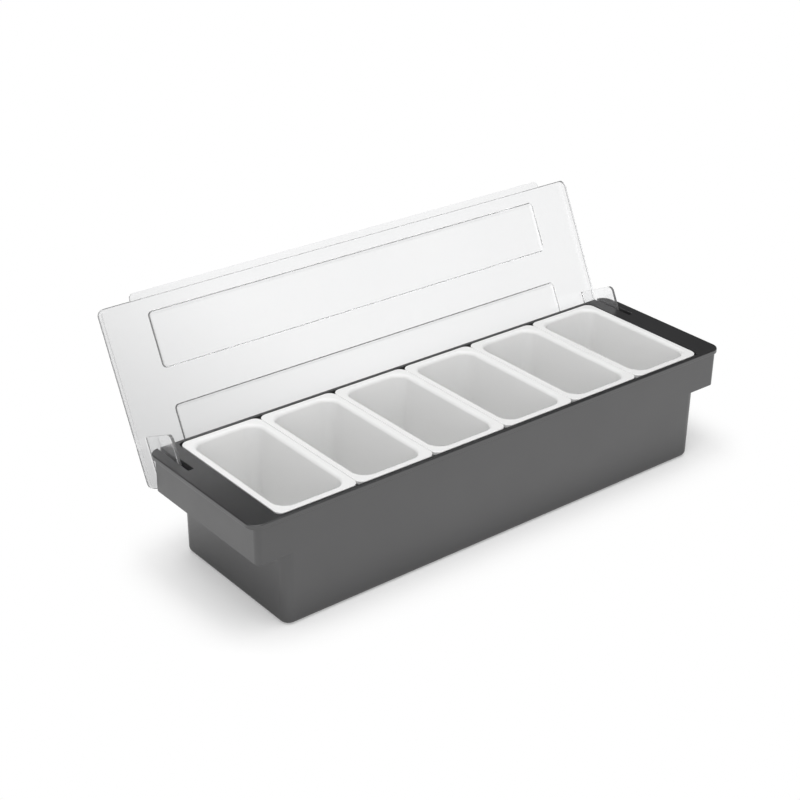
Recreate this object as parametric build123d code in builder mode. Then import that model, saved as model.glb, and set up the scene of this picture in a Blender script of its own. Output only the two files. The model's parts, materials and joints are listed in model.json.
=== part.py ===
from build123d import *
import os
from math import acos, atan2, cos, degrees, hypot, radians, sin, sqrt, tan

# Bar garnish tray: a long open shell with a finger flange at each end, a clear lid hinged
# at the back, and a row of lift-out food inserts. Sizes are in millimetres. The origin is
# the centre of the base, +X runs along the row, -Y is the front and +Z is up.

# Tray shell
tray_length = 500.0
tray_width = 145.5
tray_height = 99.0
rim_height = 4.4
rim_corner_radius = 10.0
rim_edge_radius = 1.0
rim_side_overhang = 1.2
rim_end_overhang = 4.4
wall_draft = 0.5
body_corner_radius = 8.0
base_edge_radius = 4.5
wall_thickness = 3.0
floor_thickness = 3.0
well_floor_radius = 4.0

# Skirts that box in the end flanges, open below for the fingers
skirt_drop = 35.0
skirt_wall = 2.5
skirt_corner_radius = 4.5
flange_thickness = 3.2

# Opening, and the seat in it that the inserts hang in
end_land = 25.3
side_land = 3.6
end_wall_inset = 2.4
opening_corner_radius = 5.0
seat_depth = 3.0
seat_thickness = 2.5
seat_border = 2.5
side_ledge = 3.5
ledge_slope_height = 2.5

# Food inserts
insert_count = 6
insert_gap = 0.3
insert_end_play = 1.0
insert_side_play = 0.9
insert_floor_gap = 21.2
insert_corner_radius = 7.0
insert_flange_thickness = 1.8
insert_lip_height = 3.2
insert_lip_thickness = 1.5
insert_wall = 1.6
insert_draft = 3.0
pan_clearance = 0.7
pan_corner_radius = 12.0
pan_floor_radius = 5.5
pan_mouth_radius = 3.2
pan_root_radius = 1.4
insert_edge_radius = 0.7

# Lid
lid_end_inset = 0.6
lid_back_gap = 0.4
lid_front_inset = 0.7
lid_sheet = 2.0
lid_skirt = 5.5
lid_corner_radius = 6.0
lid_edge_radius = 1.4
lid_seat_gap = 0.1
lid_relief = 0.8
lid_relief_length = 20.0
swing_clearance = 0.2
lip_end_margin = 30.5
lip_reach = 5.8
lip_corner_radius = 4.5
field_end_margin = 42.4
field_side_margin = 11.7
field_gap = 30.0
field_rise = 2.2
field_draft = 45.0
field_corner_radius = 4.0

# Hinge: an ear at each end of the lid works in a slot of the flange, and its pin snaps
# into a bearing under the flange
pivot_inset = 10.7
pivot_drop = 15.9
ear_inset = 11.6
ear_thickness = 2.6
ear_back = 5.5
ear_front = 41.0
ear_depth = 44.2
ear_front_radius = 5.0
ear_back_radius = 9.0
ear_root_radius = 1.2
slot_side_clearance = 1.0
slot_end_clearance = 0.9
slot_chamfer = 0.4
slot_chamfer_angle = 45.0
pin_radius = 3.0
pin_clearance = 0.06
pin_overhang = 0.7
pin_tip_chamfer = 0.5
bearing_gap = 2.5
bearing_thickness = 3.0
bearing_front = 8.5
bearing_back = 6.4
bearing_below = 7.0
bearing_snap = 0.8
bearing_rib = 2.5
notch_margin = 1.2
stop_clearance = 0.1

# Cuts run this far past the faces that they open
overrun = 2.0

# Edges and faces are found within this distance of their place
place_tolerance = 0.01

# Heights of the tray
rim_underside = tray_height - rim_height
skirt_bottom = tray_height - skirt_drop
flange_underside = tray_height - flange_thickness
seat_level = tray_height - seat_depth
seat_underside = seat_level - seat_thickness
well_top = seat_underside - ledge_slope_height


def drafted(size, rise):
    """The width across two drafted walls, this far above the level of the given size."""
    return size + 2 * rise * tan(radians(wall_draft))


def found_at(shapes, axis, place):
    """Those of the edges or faces whose middle lies at this place along the axis."""
    return shapes.filter_by_position(axis, place - place_tolerance, place + place_tolerance)


# Lengths and widths that follow from the overall sizes, from the rim down
opening_length = tray_length - 2 * end_land
opening_width = tray_width - 2 * side_land
base_length = drafted(opening_length - 2 * end_wall_inset, -rim_underside)
base_width = drafted(tray_width - 2 * rim_side_overhang, -rim_underside)
skirt_length = drafted(tray_length - 2 * rim_end_overhang, skirt_bottom - rim_underside)
throat_length = drafted(base_length, well_top) - 2 * wall_thickness
throat_width = opening_width - 2 * side_ledge

# Inserts share the opening's length, and their pans clear the throat
insert_pitch = (opening_length - 2 * insert_end_play + insert_gap) / insert_count
insert_width = insert_pitch - insert_gap
insert_breadth = opening_width - 2 * insert_side_play
insert_top = seat_level + insert_lip_height
insert_depth = insert_top - floor_thickness - insert_floor_gap
insert_flange = (opening_length - throat_length) / 2 - insert_end_play + pan_clearance

# Lid over the rim, with its back edge behind the tray so that it can swing down
lid_length = tray_length - 2 * lid_end_inset
lid_width = tray_width + lid_back_gap + lid_sheet - lid_front_inset
closed_centre_y = (lid_back_gap + lid_sheet + lid_front_inset) / 2
closed_top_z = tray_height + lid_seat_gap + lid_skirt
lip_length = lid_length - 2 * lip_end_margin
field_length = lid_length - 2 * field_end_margin
field_width = lid_width / 2 - field_side_margin - field_gap / 2

# Hinge, its bearings and the slots that the ears swing in
pivot_y = tray_width / 2 - pivot_inset
pivot_z = tray_height - pivot_drop
ear_centre = tray_length / 2 - ear_inset
ear_corner_y = pivot_y - (closed_centre_y + lid_width / 2 - ear_front)
ear_corner_z = pivot_z - (closed_top_z - ear_depth)
ear_swing = hypot(ear_corner_y, ear_corner_z)
slot_width = ear_thickness + 2 * slot_side_clearance
slot_front = pivot_y - sqrt(ear_swing**2 - (flange_underside - pivot_z) ** 2) - slot_end_clearance
pin_length = bearing_gap + bearing_thickness + pin_overhang
bearing_centre = ear_centre - ear_thickness / 2 - bearing_gap - bearing_thickness / 2
bearing_bottom = pivot_z - bearing_below
bearing_mouth = 2 * pin_radius - bearing_snap

# Open fingers' hollows between each skirt and the end wall of the body
with BuildPart() as finger_hollows:
    hollow_bottom = skirt_bottom - overrun
    with BuildSketch(Plane.XY.offset(hollow_bottom)):
        RectangleRounded(
            drafted(skirt_length, -overrun) - 2 * skirt_wall,
            drafted(base_width, hollow_bottom) - 2 * skirt_wall,
            skirt_corner_radius - skirt_wall,
        )
    extrude(amount=flange_underside - hollow_bottom, taper=-wall_draft)
    with BuildSketch(Plane.XY):
        RectangleRounded(base_length, base_width, body_corner_radius)
    extrude(amount=tray_height, taper=-wall_draft, mode=Mode.SUBTRACT)
    with BuildSketch(Plane.XY.offset(seat_underside)):
        Rectangle(opening_length + 2 * seat_border, tray_width)
    extrude(amount=seat_thickness + seat_depth, mode=Mode.SUBTRACT)

# The well: drafted walls, then a sloped ledge narrows it to the throat under the seat
with BuildPart() as well:
    with BuildSketch(Plane.XY.offset(floor_thickness)):
        RectangleRounded(
            drafted(base_length, floor_thickness) - 2 * wall_thickness,
            drafted(base_width, floor_thickness) - 2 * wall_thickness,
            body_corner_radius - wall_thickness,
        )
    extrude(amount=well_top - floor_thickness, taper=-wall_draft)
    fillet(well.edges().group_by(Axis.Z)[0], well_floor_radius)
    with BuildSketch(Plane.XY.offset(well_top)):
        RectangleRounded(
            drafted(base_length, well_top) - 2 * wall_thickness,
            drafted(base_width, well_top) - 2 * wall_thickness,
            body_corner_radius - wall_thickness,
        )
    with BuildSketch(Plane.XY.offset(seat_underside)) as throat:
        RectangleRounded(throat_length, throat_width, body_corner_radius - wall_thickness)
    loft()
    with BuildSketch(Plane.XY.offset(seat_underside)):
        add(throat.sketch_local)
    extrude(amount=seat_thickness)
    with BuildSketch(Plane.XY.offset(seat_level)):
        RectangleRounded(opening_length, opening_width, opening_corner_radius)
    extrude(amount=seat_depth + overrun)

# Rim: a slab with both of its edges rounded
with BuildPart() as rim:
    with BuildSketch(Plane.XY.offset(rim_underside)):
        RectangleRounded(tray_length, tray_width, rim_corner_radius)
    extrude(amount=rim_height)
    fillet(rim.edges().group_by(Axis.Z)[-1], rim_edge_radius)
    fillet(rim.edges().group_by(Axis.Z)[0], rim_edge_radius)

# Tray body: drafted body, boxed end flanges and an overhanging rim
with BuildPart() as tray_body:
    walls_top = rim_underside + rim_edge_radius
    with BuildSketch(Plane.XY):
        RectangleRounded(base_length, base_width, body_corner_radius)
    extrude(amount=walls_top, taper=-wall_draft)
    fillet(tray_body.edges().group_by(Axis.Z)[0], base_edge_radius)
    with BuildSketch(Plane.XY.offset(skirt_bottom)):
        RectangleRounded(skirt_length, drafted(base_width, skirt_bottom), skirt_corner_radius)
    extrude(amount=walls_top - skirt_bottom, taper=-wall_draft)
    add(rim.part)
    add(finger_hollows.part, mode=Mode.SUBTRACT)
    add(well.part, mode=Mode.SUBTRACT)

    # Slots that the lid's ears swing in, chamfered above and open at the back of the rim
    slot_length = tray_width / 2 + overrun - slot_front
    slot_centre_y = slot_front + slot_length / 2
    with BuildSketch(Plane.XY.offset(flange_underside - overrun)) as slots:
        with Locations((-ear_centre, slot_centre_y), (ear_centre, slot_centre_y)):
            Rectangle(slot_width, slot_length)
    extrude(amount=flange_thickness + 2 * overrun, mode=Mode.SUBTRACT)
    with BuildSketch(Plane.XY.offset(tray_height - slot_chamfer)):
        add(slots.sketch_local)
    extrude(amount=slot_chamfer + overrun, taper=-slot_chamfer_angle, mode=Mode.SUBTRACT)

    # Notches in the back of each skirt, where the ears and their pins go in
    notch_bottom = skirt_bottom - overrun
    notch_inner = ear_centre - ear_thickness / 2 - pin_length - notch_margin
    notch_outer = ear_centre + slot_width / 2
    notch_front = drafted(base_width, skirt_bottom) / 2 - skirt_wall - overrun
    notch_reach = tray_width / 2 + overrun - notch_front
    with BuildSketch(Plane.XY.offset(notch_bottom)):
        for side in (-1, 1):
            with Locations(
                (side * (notch_inner + notch_outer) / 2, notch_front + notch_reach / 2)
            ):
                Rectangle(notch_outer - notch_inner, notch_reach)
    extrude(amount=rim_underside - notch_bottom, mode=Mode.SUBTRACT)

    # Bearing plates under the flange, each held by a rib from the end wall of the body
    for side in (-1, 1):
        with BuildSketch(Plane.YZ.offset(side * bearing_centre)):
            with Locations(
                (
                    pivot_y + (bearing_back - bearing_front) / 2,
                    (bearing_bottom + flange_underside) / 2,
                )
            ):
                Rectangle(bearing_front + bearing_back, flange_underside - bearing_bottom)
        extrude(amount=bearing_thickness / 2, both=True)
        with BuildSketch(Plane.XY.offset(bearing_bottom)):
            with Locations(
                (
                    side * (base_length / 2 + bearing_centre) / 2,
                    pivot_y - bearing_front + bearing_rib / 2,
                )
            ):
                Rectangle(bearing_centre - base_length / 2, bearing_rib)
        extrude(amount=flange_underside - bearing_bottom)
        with BuildSketch(Plane.YZ.offset(side * bearing_centre)):
            with Locations((pivot_y, pivot_z)):
                Circle(pin_radius + pin_clearance)
            with Locations((pivot_y + (bearing_back + overrun) / 2, pivot_z)):
                Rectangle(bearing_back + overrun, bearing_mouth)
        extrude(amount=bearing_thickness, both=True, mode=Mode.SUBTRACT)
tray_body.part.label = "tray_body"

# Lid in its own plane: the outer face of the sheet, with x along the row and y towards
# the hinge, swung back from closed until its back edge meets the body's back wall
stop_y = tray_width / 2 + lid_back_gap + lid_sheet - pivot_y
stop_z = tray_height + lid_seat_gap + lid_relief - pivot_z
wall_y = drafted(base_width, skirt_bottom) / 2 + stop_clearance - pivot_y
open_angle = degrees(atan2(stop_z, stop_y) + acos(wall_y / hypot(stop_y, stop_z)))
hinge = Location((0, pivot_y, pivot_z), (-open_angle, 0, 0))
lid_plane = Plane(hinge * Location((0, closed_centre_y - pivot_y, closed_top_z - pivot_z)))
print("lid opens by", round(open_angle, 2), "degrees about y", pivot_y, "z", pivot_z)

with BuildPart() as lid:
    with BuildSketch(lid_plane.offset(-lid_skirt)):
        RectangleRounded(lid_length, lid_width, lid_corner_radius)
    extrude(amount=lid_skirt)
    outer_face = lid.faces().sort_by(Axis((0, 0, 0), lid_plane.z_dir))[-1]
    fillet(outer_face.edges(), lid_edge_radius)

    # Raised fields that stiffen the sheet, hollow behind
    with BuildSketch(lid_plane):
        with GridLocations(0, field_width + field_gap, 1, 2):
            RectangleRounded(field_length, field_width, field_corner_radius)
    extrude(amount=field_rise, taper=field_draft)
    with BuildSketch(lid_plane.offset(-lid_skirt)):
        RectangleRounded(
            lid_length - 2 * lid_sheet,
            lid_width - 2 * lid_sheet,
            lid_corner_radius - lid_sheet,
        )
    extrude(amount=lid_skirt - lid_sheet, mode=Mode.SUBTRACT)
    field_inset = lid_sheet * (1 - sin(radians(field_draft))) / cos(radians(field_draft))
    with BuildSketch(lid_plane.offset(-lid_sheet)):
        with GridLocations(0, field_width + field_gap, 1, 2):
            RectangleRounded(
                field_length - 2 * field_inset,
                field_width - 2 * field_inset,
                field_corner_radius - field_inset,
            )
    extrude(amount=field_rise, taper=field_draft, mode=Mode.SUBTRACT)

    # The skirt is shallower towards the back, where it swings down past the rim to its stop
    with BuildSketch(lid_plane.offset(-lid_skirt - overrun)):
        with Locations((0, lid_width / 2 + (overrun - lid_relief_length) / 2)):
            Rectangle(lid_length + 2 * overrun, lid_relief_length + overrun)
    extrude(amount=lid_relief + overrun, mode=Mode.SUBTRACT)

    # The end skirts are hollowed about the hinge, to swing over the rim's rounded corners
    corner_across = rim_corner_radius - lid_end_inset - lid_sheet
    corner_round = rim_corner_radius - sqrt(rim_corner_radius**2 - corner_across**2)
    corner_swing = hypot(tray_width / 2 - corner_round - pivot_y, tray_height - pivot_z)
    with BuildSketch(Plane.YZ):
        with Locations((pivot_y, pivot_z)):
            Circle(corner_swing + swing_clearance)
    extrude(amount=lid_length, both=True, mode=Mode.SUBTRACT)

    # Finger lip along the front edge
    with BuildSketch(lid_plane.offset(-lid_sheet)) as lip:
        with Locations((0, -(lid_width + lip_reach - lid_sheet) / 2)):
            Rectangle(lip_length, lip_reach + lid_sheet)
        fillet(lip.vertices().group_by(Axis.Y)[0], lip_corner_radius)
    extrude(amount=lid_sheet - lid_edge_radius / 2)

    # Ears with their pins, which point in towards the bearings
    ear_top = -lid_sheet / 2
    ear_y = lid_width / 2 - (ear_back + ear_front) / 2
    sheet_axis = Axis(lid_plane.origin, lid_plane.z_dir)
    for side in (-1, 1):
        inner_face = side * (ear_centre - ear_thickness / 2)
        ear_plane = Plane(
            origin=lid_plane.from_local_coords((inner_face, 0, 0)),
            x_dir=lid_plane.y_dir,
            z_dir=(1, 0, 0),
        )
        with BuildSketch(ear_plane) as ear:
            with Locations((ear_y, (ear_top - ear_depth) / 2)):
                Rectangle(ear_front - ear_back, ear_depth + ear_top)
            fillet(ear.vertices().group_by(Axis.Y)[0].sort_by(Axis.X)[0], ear_front_radius)
            fillet(ear.vertices().group_by(Axis.Y)[0].sort_by(Axis.X)[-1], ear_back_radius)
        extrude(amount=side * ear_thickness)
        sheet_edges = found_at(lid.edges(), sheet_axis, -lid_sheet)
        ear_roots = sheet_edges.filter_by_position(
            Axis.X, side * ear_centre - ear_thickness, side * ear_centre + ear_thickness
        )
        fillet(ear_roots, ear_root_radius)
        with BuildSketch(ear_plane):
            with Locations((pivot_y - closed_centre_y, pivot_z - closed_top_z)):
                Circle(pin_radius)
        extrude(amount=-side * pin_length)
        pin_tip = inner_face - side * pin_length
        chamfer(found_at(lid.edges(), Axis.X, pin_tip), pin_tip_chamfer)
lid.part.label = "lid"

# Inside of a food insert: drafted walls and a rounded floor
insert_plane = Plane(origin=(0, 0, insert_top), x_dir=(1, 0, 0), z_dir=(0, 0, -1))
pan_width = insert_width - 2 * insert_flange
pan_breadth = insert_breadth - 2 * insert_flange
with BuildPart() as pan_inside:
    with BuildSketch(insert_plane):
        RectangleRounded(
            pan_width - 2 * insert_wall,
            pan_breadth - 2 * insert_wall,
            pan_corner_radius,
        )
    extrude(amount=insert_depth - insert_wall, taper=insert_draft)
    fillet(pan_inside.edges().group_by(Axis.Z)[0], pan_floor_radius)

# Food insert: a flange with a turned-down edge that stands on the seat, and a drafted pan
with BuildPart() as food_insert:
    with BuildSketch(insert_plane):
        RectangleRounded(insert_width, insert_breadth, insert_corner_radius)
    extrude(amount=insert_lip_height)
    fillet(food_insert.edges().group_by(Axis.Z)[-1], insert_edge_radius)
    with BuildSketch(insert_plane.offset(insert_flange_thickness)):
        RectangleRounded(
            insert_width - 2 * insert_lip_thickness,
            insert_breadth - 2 * insert_lip_thickness,
            insert_corner_radius - insert_lip_thickness,
        )
    extrude(amount=insert_lip_height, mode=Mode.SUBTRACT)
    with BuildSketch(insert_plane.offset(insert_flange_thickness)):
        RectangleRounded(pan_width, pan_breadth, pan_corner_radius + insert_wall)
    extrude(amount=insert_depth - insert_flange_thickness, taper=insert_draft)
    fillet(food_insert.edges().group_by(Axis.Z)[0], pan_floor_radius + insert_wall)
    root_level = insert_top - insert_flange_thickness
    underside = found_at(food_insert.faces(), Axis.Z, root_level)[0]
    fillet(underside.inner_wires()[0].edges(), pan_root_radius)
    add(pan_inside.part, mode=Mode.SUBTRACT)
    mouth = food_insert.faces().sort_by(Axis.Z)[-1].inner_wires()[0]
    fillet(mouth.edges(), pan_mouth_radius)

# The row of inserts, one node each, and the files of all the nodes
os.makedirs("parts", exist_ok=True)
for number in range(1, insert_count + 1):
    with BuildPart() as insert:
        with Locations(((number - (insert_count + 1) / 2) * insert_pitch, 0, 0)):
            add(food_insert.part)
    insert.part.label = "insert_" + str(number)
    export_step(insert.part, "parts/insert_" + str(number) + ".step")
export_step(tray_body.part, "parts/tray_body.step")
export_step(lid.part, "parts/lid.step")
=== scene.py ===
import json
from math import cos, pi, radians, sin

import bpy
from mathutils import Matrix, Vector


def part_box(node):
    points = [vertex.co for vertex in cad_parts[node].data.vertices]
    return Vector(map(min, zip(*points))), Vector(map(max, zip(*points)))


# Bar garnish tray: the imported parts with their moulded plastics, under soft studio light.
# Places and lengths are in metres, in the frame of the parts. Angles are in degrees.
# Levels of light are radiances, where 1 is white.
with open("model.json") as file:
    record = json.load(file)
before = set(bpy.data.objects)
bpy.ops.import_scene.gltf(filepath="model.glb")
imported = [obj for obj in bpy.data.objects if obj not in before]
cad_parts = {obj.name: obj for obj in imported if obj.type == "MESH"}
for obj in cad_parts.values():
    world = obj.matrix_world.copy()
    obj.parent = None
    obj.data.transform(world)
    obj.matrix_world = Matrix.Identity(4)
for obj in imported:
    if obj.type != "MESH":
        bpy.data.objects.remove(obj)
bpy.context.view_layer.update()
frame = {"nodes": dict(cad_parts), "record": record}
scene = bpy.context.scene
collection = scene.collection

# Camera, from a perspective fit of the tray's, the inserts' and the lid's edges
view_azimuth = -38.901
view_elevation = 27.020
view_roll = 0.590
view_distance = 1.40801
aim_height = 0.060
aim_right = -0.04377
aim_up = 0.03108
focal_share = 2.09155
sensor_width = 36.0
clip_near = 0.05
clip_far = 60.0

# Floor: it keeps the shadow within white_reach of the tray's outline, and is plain white beyond
floor_half = 12.0
floor_drop = 0.0002
floor_albedo = 0.80
shadow_glow = 0.22
white_reach = 0.055

# Painted shade: the floor's level where it is seen through the clear lid, from the dim left end to plain
# white, which darkens the lid's left end
painted_shade_left_level = 0.64
through_left_x = -0.25
through_white_x = 0.12

# World: white for the camera, and one level for soft light. Gloss and the clear lid see white up to
# the horizon, and their own level where a direction's height, the sine of its angle, is ceiling_height
soft_level = 0.60
gloss_level = 0.024
through_level = 0.45
ceiling_height = 0.20

# Soft boxes: name, place, aim, width, height and radiance
lamps = (
    ("lamp_top", (-0.10, -0.10, 1.60), (0, 0, 0.05), 1.6, 1.3, 2.0),
    ("lamp_front_left", (-1.10, -1.50, 0.80), (0, 0, 0.04), 2.6, 1.6, 1.05),
)

# Noise: the band that most of its values lie in, and the octaves and scales of each use
noise_low = 0.3
noise_high = 0.7
tint_octaves = 3
sheen_octaves = 4
grain_octaves = 2
grain_strength = 0.6
sheen_per_tint = 2.5
clear_tint_scale = 9.0
clear_sheen_scale = 30.0

white_colour = (1, 1, 1, 1)


def make_camera():
    """The camera at the photographed view, with its roll."""
    azimuth, elevation, roll = radians(view_azimuth), radians(view_elevation), radians(view_roll)
    back = Vector((sin(azimuth) * cos(elevation), -cos(azimuth) * cos(elevation), sin(elevation)))
    right = Vector((cos(azimuth), sin(azimuth), 0))
    up = back.cross(right)
    aim = Vector((0, 0, aim_height)) + aim_right * right + aim_up * up
    across = cos(roll) * right + sin(roll) * up
    upward = -sin(roll) * right + cos(roll) * up
    data = bpy.data.cameras.new("camera")
    data.sensor_width = sensor_width
    data.lens = sensor_width * focal_share
    data.clip_start = clip_near
    data.clip_end = clip_far
    camera = bpy.data.objects.new("camera", data)
    collection.objects.link(camera)
    turn = Matrix((across, upward, back)).transposed().to_4x4()
    camera.matrix_world = Matrix.Translation(aim + back * view_distance) @ turn
    scene.camera = camera


def new_material(name):
    """An empty node material with its nodes and links."""
    material = bpy.data.materials.new(name)
    material.use_nodes = True
    tree = material.node_tree
    tree.nodes.clear()
    return material, tree.nodes, tree.links


def feed(links, socket, value):
    """Gives a socket a plain value, or a link from another socket."""
    if isinstance(value, bpy.types.NodeSocket):
        links.new(value, socket)
    else:
        socket.default_value = value


def combined(nodes, links, operation, *values, clamped=False):
    """A number worked out from one or two others."""
    node = nodes.new("ShaderNodeMath")
    node.operation = operation
    node.use_clamp = clamped
    for socket, value in zip(node.inputs, values):
        feed(links, socket, value)
    return node.outputs[0]


def ramp(nodes, links, value, start, end, at_start=0.0, at_end=1.0, smooth=False):
    """A number that goes from at_start to at_end while value goes from start to end."""
    node = nodes.new("ShaderNodeMapRange")
    if smooth:
        node.interpolation_type = "SMOOTHSTEP"
    feed(links, node.inputs["Value"], value)
    feed(links, node.inputs["From Min"], start)
    feed(links, node.inputs["From Max"], end)
    feed(links, node.inputs["To Min"], at_start)
    feed(links, node.inputs["To Max"], at_end)
    return node.outputs["Result"]


def mixed_shader(nodes, links, share, first, second):
    """A shader between two, by a share from nodes."""
    mix = nodes.new("ShaderNodeMixShader")
    links.new(share, mix.inputs["Fac"])
    links.new(first, mix.inputs[1])
    links.new(second, mix.inputs[2])
    return mix.outputs["Shader"]


def finish_surface(nodes, links, shader):
    """Ends a material with its surface shader."""
    output = nodes.new("ShaderNodeOutputMaterial")
    links.new(shader, output.inputs["Surface"])


def noise_in(nodes, links, where, scale, octaves):
    """Noise in the piece's own coordinates."""
    noise = nodes.new("ShaderNodeTexNoise")
    noise.inputs["Scale"].default_value = scale
    noise.inputs["Detail"].default_value = octaves
    links.new(where, noise.inputs["Vector"])
    return noise.outputs["Fac"]


def ramped_noise(nodes, links, where, scale, octaves, low, high):
    """Noise spread over the numbers from low to high."""
    noise = noise_in(nodes, links, where, scale, octaves)
    return ramp(nodes, links, noise, noise_low, noise_high, low, high)


def mixed_colour(nodes, links, share, first, second):
    """A colour between two, by a share from nodes."""
    mix = nodes.new("ShaderNodeMix")
    mix.data_type = "RGBA"
    mix.inputs["A"].default_value = (*first, 1)
    mix.inputs["B"].default_value = (*second, 1)
    links.new(share, mix.inputs["Factor"])
    return mix.outputs["Result"]


def plastic(nodes, links, where, colours, roughness, ior, tint_scale, sheen_scale):
    """A Principled shader with a slow drift of tone and of sheen."""
    shader = nodes.new("ShaderNodeBsdfPrincipled")
    shader.inputs["IOR"].default_value = ior
    drift = ramped_noise(nodes, links, where, tint_scale, tint_octaves, 0, 1)
    sheen = ramped_noise(nodes, links, where, sheen_scale, sheen_octaves, *roughness)
    links.new(mixed_colour(nodes, links, drift, *colours), shader.inputs["Base Color"])
    links.new(sheen, shader.inputs["Roughness"])
    return shader


def moulded(name, colours, roughness, ior, tint_scale, grain_scale, grain_depth):
    """Opaque moulded plastic with a fine grain."""
    material, nodes, links = new_material(name)
    where = nodes.new("ShaderNodeTexCoord").outputs["Object"]
    sheen_scale = tint_scale * sheen_per_tint
    shader = plastic(nodes, links, where, colours, roughness, ior, tint_scale, sheen_scale)
    bump = nodes.new("ShaderNodeBump")
    bump.inputs["Strength"].default_value = grain_strength
    bump.inputs["Distance"].default_value = grain_depth
    links.new(noise_in(nodes, links, where, grain_scale, grain_octaves), bump.inputs["Height"])
    links.new(bump.outputs["Normal"], shader.inputs["Normal"])
    finish_surface(nodes, links, shader.outputs["BSDF"])
    return material


def clear(name, colours, roughness, ior, clearness, shade):
    """Clear plastic with a little haze, which lets the lamps and the soft light through."""
    material, nodes, links = new_material(name)
    where = nodes.new("ShaderNodeTexCoord").outputs["Object"]
    shader = plastic(nodes, links, where, colours, roughness, ior, clear_tint_scale, clear_sheen_scale)
    shader.inputs["Transmission Weight"].default_value = clearness
    through = nodes.new("ShaderNodeBsdfTransparent")
    through.inputs["Color"].default_value = (shade, shade, shade, 1)
    path = nodes.new("ShaderNodeLightPath").outputs
    lighting = combined(nodes, links, "MAXIMUM", path["Is Shadow Ray"], path["Is Diffuse Ray"])
    mix = mixed_shader(nodes, links, lighting, shader.outputs["BSDF"], through.outputs["BSDF"])
    finish_surface(nodes, links, mix)
    return material


def dress_parts(materials):
    """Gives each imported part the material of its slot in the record."""
    for part in frame["record"]["subparts"]:
        piece = frame["nodes"][part["node"]]
        piece.data.materials.clear()
        piece.data.materials.append(materials[part["material_slot"]])


def past_outline(nodes, links, place):
    """How far a place on the floor lies outside the tray's outline."""
    tray_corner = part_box("tray_body")[1]
    past = []
    for axis, half in (("X", tray_corner.x), ("Y", tray_corner.y)):
        size = combined(nodes, links, "ABSOLUTE", place[axis])
        past.append(combined(nodes, links, "SUBTRACT", size, half, clamped=True))
    return combined(nodes, links, "ADD", *past)


def floor_material():
    """Pale near the tray, with its shadow, and plain white beyond for all but the soft light, where
    painted shade dims it towards the left end as seen through the lid.
    """
    material, nodes, links = new_material("studio_floor")
    separate = nodes.new("ShaderNodeSeparateXYZ")
    links.new(nodes.new("ShaderNodeTexCoord").outputs["Object"], separate.inputs["Vector"])
    place = separate.outputs
    path = nodes.new("ShaderNodeLightPath").outputs
    through, mirrored = path["Is Transmission Ray"], path["Is Glossy Ray"]
    seen = combined(nodes, links, "MAXIMUM", path["Is Camera Ray"], through)
    diffuse = nodes.new("ShaderNodeBsdfDiffuse")
    diffuse.inputs["Color"].default_value = (floor_albedo, floor_albedo, floor_albedo, 1)
    glow = nodes.new("ShaderNodeEmission")
    links.new(combined(nodes, links, "MULTIPLY", seen, shadow_glow), glow.inputs["Strength"])
    near = nodes.new("ShaderNodeAddShader")
    links.new(diffuse.outputs["BSDF"], near.inputs[0])
    links.new(glow.outputs["Emission"], near.inputs[1])
    # Painted shade: seen through the lid, the plain white floor dims towards the left end
    painted_shade_share = ramp(
        nodes, links, place["X"], through_left_x, through_white_x, 1 - painted_shade_left_level, 0, smooth=True
    )
    painted_shade_through = combined(nodes, links, "MULTIPLY", through, painted_shade_share)
    plain = nodes.new("ShaderNodeEmission")
    links.new(combined(nodes, links, "SUBTRACT", 1, painted_shade_through), plain.inputs["Strength"])
    away = ramp(nodes, links, past_outline(nodes, links, place), 0, white_reach, smooth=True)
    shown = combined(nodes, links, "MAXIMUM", seen, mirrored)
    share = combined(nodes, links, "MULTIPLY", shown, away)
    mix = mixed_shader(nodes, links, share, near.outputs["Shader"], plain.outputs["Emission"])
    finish_surface(nodes, links, mix)
    return material


def make_floor():
    """The floor that the tray stands on."""
    mesh = bpy.data.meshes.new("floor")
    corners = [(-1, -1), (1, -1), (1, 1), (-1, 1)]
    points = [(x * floor_half, y * floor_half, -floor_drop) for x, y in corners]
    mesh.from_pydata(points, [], [(0, 1, 2, 3)])
    mesh.materials.append(floor_material())
    floor = bpy.data.objects.new("floor", mesh)
    collection.objects.link(floor)


def background(nodes, links, strength):
    """A white background of a given strength."""
    node = nodes.new("ShaderNodeBackground")
    node.inputs["Color"].default_value = white_colour
    feed(links, node.inputs["Strength"], strength)
    return node.outputs["Background"]


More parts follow.
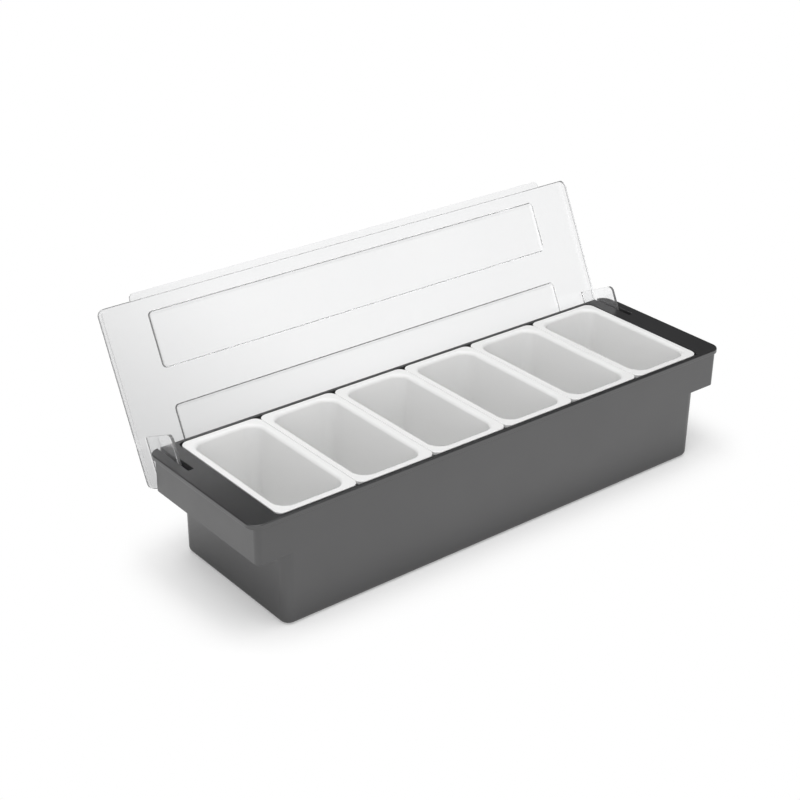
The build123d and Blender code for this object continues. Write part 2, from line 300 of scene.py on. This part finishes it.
def make_world():
    """White for the camera, and up to the horizon in the gloss and through the lid."""
    world = bpy.data.worlds.new("studio")
    world.use_nodes = True
    scene.world = world
    nodes, links = world.node_tree.nodes, world.node_tree.links
    nodes.clear()
    path = nodes.new("ShaderNodeLightPath").outputs
    through, glossy = path["Is Transmission Ray"], path["Is Glossy Ray"]
    mirrored = combined(nodes, links, "SUBTRACT", glossy, through, clamped=True)
    unmirrored_level = ramp(nodes, links, through, 0, 1, soft_level, through_level)
    level = ramp(nodes, links, mirrored, 0, 1, unmirrored_level, gloss_level)
    direction = nodes.new("ShaderNodeSeparateXYZ")
    links.new(nodes.new("ShaderNodeTexCoord").outputs["Generated"], direction.inputs["Vector"])
    low = ramp(nodes, links, direction.outputs["Z"], ceiling_height, 0)
    bent = combined(nodes, links, "MAXIMUM", glossy, through)
    bent_low = combined(nodes, links, "MULTIPLY", bent, low)
    seen = combined(nodes, links, "MAXIMUM", path["Is Camera Ray"], bent_low)
    light, white = background(nodes, links, level), background(nodes, links, 1)
    output = nodes.new("ShaderNodeOutputWorld")
    links.new(mixed_shader(nodes, links, seen, light, white), output.inputs["Surface"])


def make_lamps():
    """The soft boxes."""
    for name, place, aim, width, height, radiance in lamps:
        data = bpy.data.lights.new(name, "AREA")
        data.shape = "RECTANGLE"
        data.size = width
        data.size_y = height
        data.energy = radiance * pi * width * height
        lamp = bpy.data.objects.new(name, data)
        collection.objects.link(lamp)
        away = Vector(place) - Vector(aim)
        turn = away.to_track_quat("Z", "Y").to_matrix().to_4x4()
        lamp.matrix_world = Matrix.Translation(place) @ turn


dress_parts(
    {
        "dark_plastic": moulded(
            "dark_plastic",
            colours=((0.026, 0.026, 0.027), (0.028, 0.028, 0.029)),
            roughness=(0.30, 0.36),
            ior=1.9,
            tint_scale=14.0,
            grain_scale=2600.0,
            grain_depth=0.00002,
        ),
        "white_plastic": moulded(
            "white_plastic",
            colours=((0.808, 0.808, 0.804), (0.815, 0.815, 0.811)),
            roughness=(0.24, 0.27),
            ior=1.5,
            tint_scale=5.0,
            grain_scale=1200.0,
            grain_depth=0.000008,
        ),
        "clear_plastic": clear(
            "clear_plastic",
            colours=((0.96, 0.962, 0.965), (0.975, 0.977, 0.98)),
            roughness=(0.04, 0.06),
            ior=1.50,
            clearness=0.93,
            shade=0.92,
        ),
    }
)
make_world()
make_lamps()
make_floor()
make_camera()
scene.view_settings.view_transform = "Standard"
